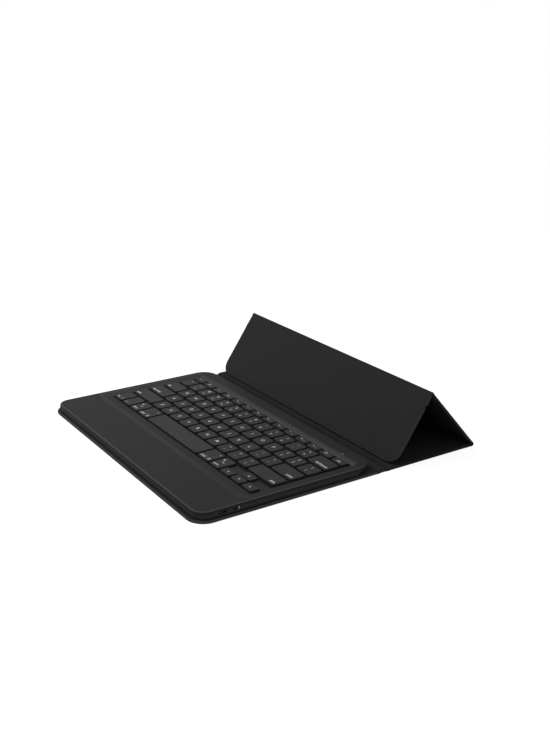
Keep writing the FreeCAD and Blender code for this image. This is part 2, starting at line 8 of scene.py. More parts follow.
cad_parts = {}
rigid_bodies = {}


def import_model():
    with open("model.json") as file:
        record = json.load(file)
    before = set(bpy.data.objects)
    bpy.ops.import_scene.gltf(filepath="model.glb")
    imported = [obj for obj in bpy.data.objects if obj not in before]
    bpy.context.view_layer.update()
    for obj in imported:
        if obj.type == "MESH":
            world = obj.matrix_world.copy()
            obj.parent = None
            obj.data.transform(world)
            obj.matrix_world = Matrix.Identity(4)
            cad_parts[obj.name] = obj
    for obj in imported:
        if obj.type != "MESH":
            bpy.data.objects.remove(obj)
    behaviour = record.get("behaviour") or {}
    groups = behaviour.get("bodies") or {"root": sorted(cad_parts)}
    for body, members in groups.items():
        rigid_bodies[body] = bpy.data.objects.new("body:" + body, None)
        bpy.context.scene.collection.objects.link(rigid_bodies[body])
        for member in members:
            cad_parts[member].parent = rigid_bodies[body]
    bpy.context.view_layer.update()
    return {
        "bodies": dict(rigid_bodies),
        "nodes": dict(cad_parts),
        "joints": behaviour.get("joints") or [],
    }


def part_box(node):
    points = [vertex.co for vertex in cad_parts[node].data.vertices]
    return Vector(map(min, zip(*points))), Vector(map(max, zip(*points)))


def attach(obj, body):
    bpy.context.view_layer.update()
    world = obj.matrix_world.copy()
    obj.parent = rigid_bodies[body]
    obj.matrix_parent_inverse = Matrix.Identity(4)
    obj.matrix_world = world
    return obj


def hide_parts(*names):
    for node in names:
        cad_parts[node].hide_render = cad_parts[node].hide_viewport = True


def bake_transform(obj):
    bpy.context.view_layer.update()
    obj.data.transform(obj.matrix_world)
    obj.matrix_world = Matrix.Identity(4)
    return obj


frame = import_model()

mm = 0.001
nodes = frame["nodes"]
folds = {joint["name"]: Vector(joint["pos_m"]) for joint in frame["joints"] if "pos_m" in joint}
print("frame loaded:", len(nodes), "nodes")


# shader wiring

class Wire:
    # a socket that can stand in a sum: each operator adds one Math node
    def __init__(self, wiring, socket):
        self.wiring = wiring
        self.socket = socket

    def math(self, operation, first, second):
        return self.wiring.node("ShaderNodeMath", {"operation": operation}, {0: first, 1: second})

    def __add__(self, other):
        return self.math("ADD", self, other)

    def __sub__(self, other):
        return self.math("SUBTRACT", self, other)

    def __rsub__(self, other):
        return self.math("SUBTRACT", other, self)

    def __mul__(self, other):
        return self.math("MULTIPLY", self, other)

    __radd__ = __add__
    __rmul__ = __mul__


class Wiring:
    # a node tree, built by naming each node and what goes into it
    def __init__(self, tree):
        self.tree = tree

    def node(self, kind, settings=None, sockets=None, out=0):
        made = self.tree.nodes.new(kind)
        for key, value in (settings or {}).items():
            setattr(made, key, value)
        for key, value in (sockets or {}).items():
            self.plug(made.inputs[key], value)
        return Wire(self, made.outputs[out])

    def plug(self, socket, value):
        if isinstance(value, Wire):
            self.tree.links.new(value.socket, socket)
        else:
            socket.default_value = value

    def seen(self):
        # 1 for a look from the camera, straight, in a gloss or through glass; 0 for light on its way
        ray = self.tree.nodes.new("ShaderNodeLightPath")
        kinds = ("Is Camera Ray", "Is Glossy Ray", "Is Transmission Ray")
        straight, gloss, through = (Wire(self, ray.outputs[kind]) for kind in kinds)
        return straight + gloss + through


class Finish(Wiring):
    # one material; its patterns run on the piece's own coordinates, in metres
    def __init__(self, name):
        self.material = bpy.data.materials.new(name)
        self.material.use_nodes = True
        super().__init__(self.material.node_tree)
        self.shader = self.tree.nodes["Principled BSDF"]
        self.place = self.node("ShaderNodeTexCoord", out="Object")

    def feed(self, colour, rough, others=None):
        sockets = {"Base Color": colour, "Roughness": rough}
        sockets.update(others or {})
        for key, value in sockets.items():
            self.plug(self.shader.inputs[key], value)
        return self.material

    def relief(self, height, look):
        # a grained surface with little shine of its own
        sockets = {"Height": height, "Distance": look["depth"], "Strength": 1.0}
        return {"Normal": self.node("ShaderNodeBump", {}, sockets), "Specular IOR Level": look["specular"]}

    def noise(self, scale, detail=3.0, place=None):
        sockets = {"Vector": place or self.place, "Scale": scale, "Detail": detail}
        return self.node("ShaderNodeTexNoise", {}, sockets)

    def cells(self, scale, feature="F1", place=None):
        sockets = {"Vector": place or self.place, "Scale": scale}
        return self.node("ShaderNodeTexVoronoi", {"feature": feature}, sockets)

    def stretched(self, x, y, z):
        return self.node("ShaderNodeMapping", {}, {"Vector": self.place, "Scale": (x, y, z)})

    def between(self, share, first, second):
        return self.node("ShaderNodeMix", {"data_type": "RGBA"}, {0: share, 6: first, 7: second}, out=2)

    def axis(self, name):
        return self.node("ShaderNodeSeparateXYZ", {}, {0: self.place}, out=name)

    def rise(self, low, high):
        # 0 below the first height, 1 above the second
        sockets = {"Value": self.axis("Z"), "From Min": low, "From Max": high}
        return self.node("ShaderNodeMapRange", {}, sockets)

    def inside(self, middleX, halfX, middleY, halfY):
        # 1 within a rectangle seen from above, 0 outside it
        near = {"operation": "COMPARE"}
        across = self.node("ShaderNodeMath", near, {0: self.axis("X"), 1: middleX, 2: halfX})
        return across * self.node("ShaderNodeMath", near, {0: self.axis("Y"), 1: middleY, 2: halfY})

    def edge(self):
        # how strong the painted highlight is at a place, kept on the mesh by markRings
        return self.node("ShaderNodeAttribute", {"attribute_name": "edge"}, out="Fac")


def grey(level, tint=(1.0, 1.0, 1.0)):
    return (level * tint[0], level * tint[1], level * tint[2], 1.0)


# finishes

plasticLook = {
    "deck": {"dark": 0.0198, "light": 0.0246, "rough": 0.50, "grain": 2400, "depth": 0.014 * mm},
    "case": {"dark": 0.032, "light": 0.038, "rough": 0.46, "grain": 2400, "depth": 0.010 * mm},
    "well": {"dark": 0.0235, "light": 0.0285, "rough": 0.55, "grain": 2400, "depth": 0.014 * mm},
    "caps": {"dark": 0.0308, "light": 0.0364, "rough": 0.46, "grain": 3200, "depth": 0.008 * mm},
    "black": {"dark": 0.006, "light": 0.008, "rough": 0.42, "grain": 2800, "depth": 0.008 * mm},
    "specular": 0.02,
    # the tone of the painted highlight on marked edges
    "paintedHighlight": 0.068,
    "tint": (1.0, 1.0, 1.03),
    "cloud": 38,
    "patch": 90,
}
# painted shade: between these heights a moulding goes from the first, darker tone, low down in the key
# gaps, to its own
plasticLook["well"]["low"] = (7.0 * mm, 7.3 * mm, 0.010)
plasticLook["caps"]["low"] = (7.9 * mm, 8.9 * mm, 0.014)
# the painted gap shade is left off the open floor beside the upper arrow key: middle and half size, across
# and along
plasticLook["well"]["open"] = (112.6 * mm, 28.2 * mm, -76.2 * mm, 4.9 * mm)


def mouldedPlastic(name, look):
    # spark-eroded moulding: fine even grain, faint cloudiness, polished patches, a painted highlight where
    # the mesh is marked, and, where given, painted shade low in the key gaps
    finish = Finish(name)
    cloud = finish.noise(plasticLook["cloud"], 2.0)
    grain = finish.noise(look["grain"], 2.0)
    polish = finish.noise(plasticLook["patch"], 4.0)
    tint = plasticLook["tint"]
    colour = finish.between(cloud * 0.7 + grain * 0.3, grey(look["dark"], tint), grey(look["light"], tint))
    # painted highlight: paler where the mesh's rings are marked
    highlightShare = finish.edge() * (0.7 + 0.3 * cloud)
    colour = finish.between(highlightShare, colour, grey(plasticLook["paintedHighlight"], tint))
    # painted shade low down in the key gaps: the sunk well floor and the caps' lower sides are darkened
    if "low" in look:
        foot, full, level = look["low"]
        clear = finish.rise(foot, full)
        if "open" in look:
            clear = clear + (1 - clear) * finish.inside(*look["open"])
        colour = finish.between(clear, grey(level, tint), colour)
    rough = look["rough"] - 0.06 + 0.10 * polish + 0.03 * grain
    return finish.feed(colour, rough, finish.relief(grain, look | {"specular": plasticLook["specular"]}))


skinLook = {
    "dark": 0.016,
    "light": 0.024,
    "pebble": 1050,  # cells to the metre, so pebbles of about a millimetre
    "depth": 0.05 * mm,
    "rough": 0.52,
    "specular": 0.03,
    # the tone of the painted highlight along the edges
    "paintedHighlight": 0.060,
    "drift": 260,
    "bend": 0.004,  # how far the drift shifts the pebbles
    "cloud": 24,
}


def coatedCloth():
    # coated cover cloth: small pebbles with creases between them, and a painted highlight along its marked
    # edges
    finish = Finish("coatedCloth")
    drift = finish.noise(skinLook["drift"], 2.0)
    sockets = {0: skinLook["bend"], 4: finish.place, 5: drift}
    bent = finish.node("ShaderNodeMix", {"data_type": "VECTOR"}, sockets, out=1)
    pebble = finish.cells(skinLook["pebble"], "SMOOTH_F1", bent)
    crease = finish.cells(skinLook["pebble"], "DISTANCE_TO_EDGE", bent)
    cloud = finish.noise(skinLook["cloud"], 3.0)
    height = (1 - pebble) * 0.6 + crease * 0.4
    share = cloud * 0.6 + crease * 0.5
    colour = finish.between(share, grey(skinLook["dark"]), grey(skinLook["light"]))
    # painted highlight along the marked edges
    colour = finish.between(finish.edge() * (0.6 + 0.4 * cloud), colour, grey(skinLook["paintedHighlight"]))
    rough = skinLook["rough"] + 0.12 * cloud - 0.10 * crease
    return finish.feed(colour, rough, finish.relief(height, skinLook))


liningLook = {
    "dark": 0.014,
    "light": 0.023,
    "nap": 3000,
    "napLie": 0.35,
    "stroke": 60,
    "strokeLie": 0.3,
    "depth": 0.06 * mm,
    "rough": 0.86,
    "specular": 0.03,
}


def brushedLining():
    # short brushed nap, all lying one way, with lighter strokes where it has been rubbed
    finish = Finish("brushedLining")
    nap = finish.noise(liningLook["nap"], 2.0, finish.stretched(1.0, liningLook["napLie"], 1.0))
    stroke = finish.noise(liningLook["stroke"], 3.0, finish.stretched(1.0, liningLook["strokeLie"], 1.0))
    colour = finish.between(nap * 0.5 + stroke * 0.5, grey(liningLook["dark"]), grey(liningLook["light"]))
    return finish.feed(colour, liningLook["rough"] + 0.08 * nap, finish.relief(nap, liningLook))


inkLook = {
    "white": (0.54, 0.54, 0.54, 1.0),
    "blue": (0.075, 0.21, 0.40, 1.0),
    "thin": 0.82,
    "speckle": 5200,
    "rough": 0.55,
}


def speckled(name, dark, light, rough, scale, detail=4.0, glow=0.0):
    # an even tone with a fine speckle in it
    finish = Finish(name)
    speckle = finish.noise(scale, detail)
    colour = finish.between(speckle, dark, light)
    lit = {"Emission Color": colour, "Emission Strength": glow} if glow else {}
    return finish.feed(colour, rough + 0.1 * speckle, lit)


def printedInk(name, colour):
    # slightly thin where the cap's grain shows through
    thin = tuple(channel * inkLook["thin"] for channel in colour[:3]) + (1.0,)
    return speckled(name, thin, colour, inkLook["rough"], inkLook["speckle"], 2.0)


platedLook = {
    "lines": 5000,
    "draw": 0.06,
    # a painted reflection near the socket's opening: its tone, and where it lies
    "glintTone": grey(0.44, (1.0, 1.0, 1.08)),
    "glintPatch": (154.0 * mm, 4.0 * mm, -111.2 * mm, 0.8 * mm),  # middle and half size, across and along
}


def platedSteel(name, dark, light, rough, bright=None):
    # drawn and plated sheet: fine lines along the draw, and a painted reflection in a paler patch
    finish = Finish(name)
    lines = finish.noise(platedLook["lines"], 2.0, finish.stretched(platedLook["draw"], 1.0, 1.0))
    colour = finish.between(lines, grey(dark), grey(light))
    if bright:
        colour = finish.between(finish.inside(*bright), colour, platedLook["glintTone"])
    return finish.feed(colour, rough + 0.12 * lines, {"Metallic": 1.0})


lensLook = {
    "edge": (0.02, 0.16, 0.24, 1.0),
    "heart": (0.10, 0.42, 0.58, 1.0),
    "glow": 0.35,
    "haze": 1400,
    "rough": 0.16,
}


def litLens():
    tones = (lensLook["edge"], lensLook["heart"])
    return speckled("litLens", *tones, lensLook["rough"], lensLook["haze"], 2.0, lensLook["glow"])


finishes = {
    "deck": mouldedPlastic("deckPlastic", plasticLook["deck"]),
    "case": mouldedPlastic("casePlastic", plasticLook["case"]),
    "well": mouldedPlastic("wellPlastic", plasticLook["well"]),
    "caps": mouldedPlastic("capPlastic", plasticLook["caps"]),
    "black": mouldedPlastic("blackPlastic", plasticLook["black"]),
    "skin": coatedCloth(),
    "lining": brushedLining(),
    "white": printedInk("whiteInk", inkLook["white"]),
    "blue": printedInk("blueInk", inkLook["blue"]),
    # the socket shell: very dark tones as painted shade inside the socket, and the painted reflection patch
    "plated": platedSteel("platedShell", 0.05, 0.10, 0.30, platedLook["glintPatch"]),
    "lens": litLens(),
}
laminate = {"dark": (0.01, 0.09, 0.035, 1), "light": (0.02, 0.14, 0.06, 1)}
insideStock = {
    "floor_board": speckled("greyBoard", grey(0.10), grey(0.16), 0.75, 900),
    "floor_magnets": platedSteel("magnetPlating", 0.40, 0.52, 0.30),
    "key_plate": platedSteel("keyPlateSteel", 0.38, 0.50, 0.34),
    "membrane_sheet": speckled("printedFilm", grey(0.010), grey(0.016), 0.45, 300),
    "rubber_domes": speckled("domeRubber", grey(0.016), grey(0.024), 0.70, 1500),
    "battery_cell": speckled("cellWrap", grey(0.24), grey(0.32), 0.30, 200),
    "controller_board": speckled("greenLaminate", laminate["dark"], laminate["light"], 0.45, 1200),
}
sameStock = {"leg_board": "floor_board", "flap_board": "floor_board", "flap_magnets": "floor_magnets"}


def dressNode(name, material):
    mesh = nodes[name].data
    mesh.materials.clear()
    mesh.materials.append(material)


for name, material in insideStock.items():
    dressNode(name, material)
for name, twin in sameStock.items():
    dressNode(name, insideStock[twin])
dressNode("key_frame", finishes["well"])
dressNode("switch_housing", finishes["black"])
print("finishes made:", len(bpy.data.materials))


# mesh helpers

leastRadius = 0.25 * mm
fineSteps = 10  # on each corner of a wide outline


def roundedOutline(box, radii, inset=0.0, steps=8, between=(0, 0)):
    # box is left, right, front, rear; radii run front right, rear right, rear left, front left;
    # between is how many points lie along the sides that run across and those that run along
    left, right, front, rear = box[0] + inset, box[1] - inset, box[2] + inset, box[3] - inset
    corners = [(right, -1, front, 1, -90), (right, -1, rear, -1, 0)]
    corners += [(left, 1, rear, -1, 90), (left, 1, front, 1, 180)]
    bends = []
    for (x, towardX, y, towardY, start), radius in zip(corners, radii):
        bend = max(radius - inset, leastRadius)
        turns = [math.radians(start + 90 * step / steps) for step in range(steps + 1)]
        middle = Vector((x + towardX * bend, y + towardY * bend))
        bends.append([middle + bend * Vector((math.cos(turn), math.sin(turn))) for turn in turns])
    points = []
    for index, bend in enumerate(bends):
        count = between[1 - index % 2]
        ahead = bends[(index + 1) % 4][0]
        points += bend + [bend[-1].lerp(ahead, (step + 1) / (count + 1)) for step in range(count)]
    return [tuple(point) for point in points]


def quarterArc(fromInset, fromHeight, toInset, toHeight, outFirst, steps=4):
    # a rounded edge between two places on a section, as (inset, height) pairs
    pairs = []
    for step in range(1, steps):
        turn = math.radians(90 * step / steps)
        fast, slow = math.sin(turn), 1 - math.cos(turn)
        shareInset, shareHeight = (slow, fast) if outFirst else (fast, slow)
        inset = fromInset + (toInset - fromInset) * shareInset
        pairs.append((inset, fromHeight + (toHeight - fromHeight) * shareHeight))
    return [(fromInset, fromHeight)] + pairs + [(toInset, toHeight)]


def loft(rings, closed=False):
    # a skin over rings of points: capped at both ends, or closed from the last ring to the first
    form = bmesh.new()
    loops = [[form.verts.new(point) for point in ring] for ring in rings]
    following = loops[1:] + ([loops[0]] if closed else [])
    for lower, upper in zip(loops, following):
        for i in range(len(lower)):
            j = (i + 1) % len(lower)
            form.faces.new((lower[i], lower[j], upper[j], upper[i]))
    if not closed:
        form.faces.new(loops[0][::-1])
        form.faces.new(loops[-1])
    bmesh.ops.recalc_face_normals(form, faces=form.faces)
    if form.calc_volume(signed=True) < 0:
        bmesh.ops.reverse_faces(form, faces=form.faces)
    return form


def meshOf(name, form):
    mesh = bpy.data.meshes.new(name)
    form.to_mesh(mesh)
    form.free()
    return mesh


def formOf(mesh):
    form = bmesh.new()
    form.from_mesh(mesh)
    bpy.data.meshes.remove(mesh)
    return form


def joinForms(forms):
    whole = bmesh.new()
    for form in forms:
        part = meshOf("part", form)
        whole.from_mesh(part)
        bpy.data.meshes.remove(part)
    return whole


def show(name, data):
    shown = bpy.data.objects.new(name, data)
    bpy.context.scene.collection.objects.link(shown)
    return shown


def workedOut(carrier):
    # a plain mesh of what a carrier's modifiers or letters come to
    bpy.context.view_layer.update()
    graph = bpy.context.evaluated_depsgraph_get()
    return bpy.data.meshes.new_from_object(carrier.evaluated_get(graph))


def addPiece(name, form, material, crease=32):
    # edges that turn by more than the crease, in degrees, are shaded sharp
    mesh = meshOf(name, form)
    mesh.materials.clear()  # sets every face to the first slot
    mesh.materials.append(material)
    mesh.shade_smooth()
    mesh.set_sharp_from_angle(angle=math.radians(crease))
    return show(name, mesh)


def markRings(piece, ringSize, marks, weigh=None):
    # keeps a number for each ring of a loft, for the finish to read
    kept = piece.data.attributes.new("edge", "FLOAT", "POINT")
    for index, mark in enumerate(marks):
        for point in range(index * ringSize, (index + 1) * ringSize):
            kept.data[point].value = mark * weigh(piece.data.vertices[point].co) if weigh else mark


def seat(piece, body, slot, *replaced):
    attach(piece, body)
    if replaced:
        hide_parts(*replaced)


def bakeTree(name, mesh, tree, values):
    # runs a node tree once on a mesh and keeps the result as a plain mesh
    carrier = show(name, mesh)
    modifier = carrier.modifiers.new(name, "NODES")
    modifier.node_group = tree
    for item in tree.interface.items_tree:
        if item.item_type == "SOCKET" and item.in_out == "INPUT" and item.name in values:
            modifier[item.identifier] = values[item.name]
    result = workedOut(carrier)
    bpy.data.objects.remove(carrier)
    return result


def rowTree():
    # copies the incoming shape along X
    tree = bpy.data.node_groups.new("rowAlongX", "GeometryNodeTree")
    given = {"Shape": "Geometry", "Count": "Int", "Pitch": "Vector", "Finish": "Material"}
    for name, kind in given.items():
        tree.interface.new_socket(name, in_out="INPUT", socket_type="NodeSocket" + kind)
    tree.interface.new_socket("Row", in_out="OUTPUT", socket_type="NodeSocketGeometry")
    wiring = Wiring(tree)
    inlet, outlet = tree.nodes.new("NodeGroupInput"), tree.nodes.new("NodeGroupOutput")
    shape, count, pitch, finish = (Wire(wiring, inlet.outputs[name]) for name in given)
    line = wiring.node("GeometryNodeMeshLine", {}, {"Count": count, "Offset": pitch})
    copies = wiring.node("GeometryNodeInstanceOnPoints", {}, {"Points": line, "Instance": shape})
    solid = wiring.node("GeometryNodeRealizeInstances", {}, {"Geometry": copies})
    painted = wiring.node("GeometryNodeSetMaterial", {}, {"Geometry": solid, "Material": finish})
    wiring.plug(outlet.inputs["Row"], painted)
    return tree


rowAlongX = rowTree()


# cover panels

cover = {
    "bevelNarrow": 2.0 * mm,
    "bevelPeak": 3.2 * mm,
    "bevelRear": 3.4 * mm,
    "edgeRound": 0.55 * mm,
    "frontCorner": 17.0 * mm,
    "flapCorner": 13.0 * mm,
    "squareCorner": 0.6 * mm,
    "press": 0.12 * mm,  # the bonded border lies this much lower than the boarded middle
    "pressFrom": 3.6 * mm,
    "pressTo": 5.4 * mm,
    "spineSpread": 1.1 * mm,
    "rearBack": 1.2 * mm,
    "liningDepth": 0.6 * mm,
    "liningPlay": 0.05 * mm,
    "liningRound": 0.35 * mm,
    # painted highlight shares for the rings, from the outer side round the edge
    "highlightRings": [0.0, 0.5, 0.9, 1.0, 1.0, 0.9, 0.8, 0.6, 0.4, 0.2, 0.0],  # from the outer side round the edge
    # the painted highlight on the base's rings, and its strength on the leg, and on the strip and flap
    "baseHighlight": [0.0] * 3 + [1.0] * 9 + [0.5],
    "legHighlight": 0.8,
    "flapHighlight": 0.68,
    "noFold": 1.0,  # a distance further than any panel reaches
}
square = [cover["squareCorner"]] * 4
bodyOf = {
    "base": "keyboard",
    "spine": "spine",
    "floor": "floor_panel",
    "leg": "leg_panel",
    "strip": "strip_panel",
    "flap": "flap_panel",
}


def panelFrame(start, toward):
    along = (toward - start).normalized()
    inner = Vector((0, -along.z, along.y))
    axes = Matrix((Vector((1, 0, 0)), along, inner)).transposed()
    return Matrix.Translation(start) @ axes.to_4x4()


def extentIn(place, node):
    # a node's box in a panel's own frame: left, right, start, end, outer face, inner face
    back = place.inverted()
    points = [back @ vertex.co for vertex in nodes[node].data.vertices]
    spans = [(min(p[axis] for p in points), max(p[axis] for p in points)) for axis in range(3)]
    return spans[0] + spans[1] + spans[2]


def bevelLimit(along, inner, startEnd, length, farEnd):
    # how high the inner side may stand, so that folded panels clear each other
    limit = inner
    for distance, kind in ((along, startEnd), (length - along, farEnd)):
        if kind:
            bevel, lift = kind
            limit = min(limit, lift + (inner - lift) * distance / bevel)
    return limit


baseFold, spineFold, rearFold = folds["base_hinge"], folds["spine_hinge"], folds["rear_hinge"]
peakFold, seamFold = folds["peak_hinge"], folds["flap_hinge"]
ahead = Vector((0, 1, 0))
rearLift = rearFold.z - spineFold.z
narrowEnd, peakEnd = (cover["bevelNarrow"], 0.0), (cover["bevelPeak"], 0.0)
softEnd = (cover["bevelRear"], rearLift)


def makePanel(key, node, startEnd, farEnd, radii=square, lining=None, paintedHighlight=0.0, darkEdge=False):
    # an end is the length of its bevel and the height it starts from, or None where there is none
    body, place, fullLength = bodyOf[key], places[key], lengths[key]
    left, right, start, end, outer, inner = extentIn(place, node)
    if not (startEnd or farEnd):
        # the soft spine is pressed flat, a little wider
        left, right = left - cover["spineSpread"], right + cover["spineSpread"]
    start += cover["rearBack"] if startEnd is softEnd else 0.0
    end -= cover["rearBack"] if farEnd is softEnd else 0.0
    box = (left, right, start, end)
    bend = min(cover["edgeRound"], (inner - outer) / 3)
    narrow = min(1.0, ((end - start) / 2 - 2 * bend) / (cover["pressTo"] + bend))
    pressFrom, pressTo = cover["pressFrom"] * narrow, cover["pressTo"] * narrow

    def ring(inset, height, outline=box, corners=radii):
        points = []
        far = cover["noFold"]
        for x, y in roundedOutline(outline, corners, inset):
            fromFold = min(y if startEnd else far, fullLength - y if farEnd else far)
            lift = height
            if height < 0:
                share = min(max((fromFold - cover["pressFrom"]) / cover["pressFrom"], 0.0), 1.0)
                lift = outer + (height - outer) * share if inset > bend else height
            lift = min(lift, bevelLimit(y, inner, startEnd, fullLength, farEnd))
            points.append(place @ Vector((x, y, lift)))
        return points

    low = outer + cover["press"]
    rings = [ring(pressTo + bend, outer), ring(pressTo, outer)]
    rings += [ring(pressFrom, low), ring(2 * bend, low)]
    rings += [ring(*pair) for pair in quarterArc(bend, low, 0.0, low + bend, False)]
    rings += [ring(*pair) for pair in quarterArc(0.0, inner - bend, bend, inner, True)]
    rimStart = startEnd[0] if startEnd else start + 2 * bend
    rimEnd = fullLength - (farEnd[0] if farEnd else 2 * bend)
    rim = (left + 2 * bend, right - 2 * bend, rimStart, rimEnd)
    rimRadii = [max(radius - 2 * bend, leastRadius) for radius in radii]
    rings.append(ring(0.0, inner, rim, rimRadii))
    if lining:
        room = extentIn(place, lining)
        cut = [max(radius - (room[0] - left), leastRadius) for radius in radii]
        rings += [ring(0.0, inner, room[:4], cut), ring(0.0, inner - cover["liningDepth"], room[:4], cut)]
        makeLining(lining, body, place, room, cut)
    else:
        rings.append(ring(bend, inner, rim, rimRadii))
    piece = addPiece(key + "Skin", loft(rings), finishes["skin"])
    # painted highlight on the panel's rounded edge
    markRings(piece, len(rings[0]), [0.0] * 3 + [paintedHighlight * share for share in cover["highlightRings"]])
    if darkEdge:
        # the lining is turned over the sides
        piece.data.materials.append(finishes["lining"])
        back = place.inverted()
        for face in piece.data.polygons:
            face.material_index = int((back @ face.center).z > outer + 2 * bend)
    seat(piece, body, "cover_skin", node)


def makeLining(node, body, place, room, radii):
    box = room[:4]
    top, bend, play = room[5], cover["liningRound"], cover["liningPlay"]
    section = [(play, room[4]), (play, top - bend)]
    section += quarterArc(play, top - bend, play + bend, top, True)[1:]
    section += [(play + 2 * bend, top)]
    rings = []
    for inset, z in section:
        rings.append([place @ Vector((x, y, z)) for x, y in roundedOutline(box, radii, inset)])
    sheet = addPiece(node + "Sheet", loft(rings), finishes["lining"])
    seat(sheet, body, "cover_lining", node)
    box[1] - box[0]
    box[3] - box[2]


def legFrame():
    # the soft rear fold lies deeper in the leg than the peak fold does
    span = peakFold - rearFold
    along = Matrix.Rotation(math.asin(rearLift / span.length), 3, "X") @ span.normalized()
    start = rearFold - rearLift * Vector((0, -along.z, along.y))
    return panelFrame(start, start + along), (peakFold - start).length


legPlace, legLength = legFrame()
places = {
    "base": panelFrame(baseFold, baseFold + ahead),
    "spine": panelFrame(baseFold, spineFold),
    "floor": panelFrame(spineFold, spineFold + ahead),
    "leg": legPlace,
    "strip": panelFrame(peakFold, seamFold),
    "flap": panelFrame(seamFold, seamFold + (seamFold - peakFold)),
}
lengths = {
    "spine": (spineFold - baseFold).length,
    "floor": rearFold.y - spineFold.y,
    "leg": legLength,
    "strip": (seamFold - peakFold).length,
    "flap": extentIn(places["flap"], "flap_cover")[3],
}


def makeBase():
    # the keyboard is glued on this one, and its rear edge is bevelled toward the fold
    low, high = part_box("base_cover")
    box = (low.x, high.x, low.y, high.y)
    corner, bend = cover["frontCorner"], cover["edgeRound"]
    radii = [corner, cover["squareCorner"], cover["squareCorner"], corner]

    def ring(inset, z):
        points = []
        for x, y in roundedOutline(box, radii, inset, fineSteps):
            fromFold = max(baseFold.y - y, 0.0)
            ceiling = baseFold.z + (high.z - baseFold.z) * fromFold / cover["bevelNarrow"]
            points.append((x, y, min(z, ceiling)))
        return points

    section = [(cover["pressTo"] + bend, low.z), (cover["pressTo"], low.z), (2 * bend, low.z)]
    section += quarterArc(bend, low.z, 0.0, low.z + bend, False)
    section += quarterArc(0.0, high.z - bend, bend, high.z, True)
    section += [(2 * bend, high.z), (cover["pressFrom"], high.z), (cover["pressTo"], high.z)]
    rings = [ring(inset, z) for inset, z in section]
    piece = addPiece("baseSkin", loft(rings), finishes["skin"])
    # painted highlight on the base's rounded edge
    markRings(piece, len(rings[0]), cover["baseHighlight"])
    seat(piece, "keyboard", "cover_skin", "base_cover")


makeBase()
flapRadii = [cover["squareCorner"], cover["flapCorner"], cover["flapCorner"], cover["squareCorner"]]
makePanel("spine", "spine_cover", None, None)
makePanel("floor", "floor_cover", narrowEnd, softEnd, lining="floor_lining", darkEdge=True)
makePanel("leg", "leg_cover", softEnd, peakEnd, lining="leg_lining", paintedHighlight=cover["legHighlight"])
makePanel("strip", "edge_strip", peakEnd, narrowEnd, paintedHighlight=cover["flapHighlight"])
makePanel("flap", "flap_cover", narrowEnd, None, flapRadii, "flap_lining", cover["flapHighlight"])
print("cover panels made")


# folds: the outer skin runs over each fold

foldSkin = {
    "wing": 2.0 * mm,  # past the fold's own bead, on each panel
    "proud": 0.03 * mm,
    "sheet": 0.23 * mm,
    "steps": 10,
    "reach": 2.7 * mm,  # past each end of the fold's own node
    "rearBend": 2.3 * mm,
    "flat": 1e-4,  # a turn below this, in radians, is none
}


def makeFold(name, node, axis, before, after, bodies, bend=0.0):
    # before and after are each the way from the fold into a panel, and that panel's outer side;
    # a fold whose bend is wider than its own bead is rounded further back
    towardA, outA = before
    towardB, outB = after
    low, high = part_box(node)
    core = (high.z - low.z) / 2
    outside, lip = core + foldSkin["proud"], foldSkin["sheet"]
    wing, inside = core + foldSkin["wing"], outside - lip
    core -= foldSkin["proud"]
    points = [towardA * wing + outA * inside, towardA * wing + outA * (outside - lip / 2)]
    points.append(towardA * (wing - lip) + outA * outside)
    turn = outA.angle(outB) if outA.angle(outB) > foldSkin["flat"] else 0.0
    inward = -(outA + outB).normalized()
    bend = max(bend, outside)
    back = inward * (bend - outside) / math.cos(turn / 2)
    hold = max(core, (bend - outside) * math.tan(turn / 2))
    for step in range(foldSkin["steps"] + 1):
        share = step / foldSkin["steps"]
        if turn:
            points.append(back + outA.slerp(outB, share) * bend)
        else:
            points.append(outA * outside + (towardB - towardA) * (share - 0.5) * core)
    points += [towardB * (wing - lip) + outB * outside, towardB * wing + outB * (outside - lip / 2)]
    points += [towardB * wing + outB * inside, towardB * hold + outB * inside, towardB * core]
    points += [inward * core, towardA * core, towardA * hold + outA * inside]
    ends = (low.x - foldSkin["reach"], high.x + foldSkin["reach"])
    rings = [[Vector((x, axis.y, axis.z)) + point for point in points] for x in ends]
    piece = addPiece(name, loft(rings), finishes["skin"], crease=40)
    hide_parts(node)
    start, finish = axis + towardA * (wing / 2), axis + towardB * (wing / 2)
    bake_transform(piece)


def sideOf(key, backwards):
    place = places[key].to_3x3()
    along, inner = place.col[1], place.col[2]
    return (-along if backwards else along, -inner)


# each fold with its axis, the panel before it and the panel after it
foldRows = [
    ("base", baseFold, "base", "spine"),
    ("spine", spineFold, "spine", "floor"),
    ("rear", rearFold, "floor", "leg"),
    ("peak", peakFold, "leg", "strip"),
    ("seam", seamFold, "strip", "flap"),
]
for key, axis, before, after in foldRows:
    sides = (sideOf(before, True), sideOf(after, False))
    bend = foldSkin["rearBend"] if key == "rear" else 0.0
    makeFold(key + "FoldSkin", key + "_fold", axis, *sides, (bodyOf[before], bodyOf[after]), bend)
print("folds made")


# keyboard casing

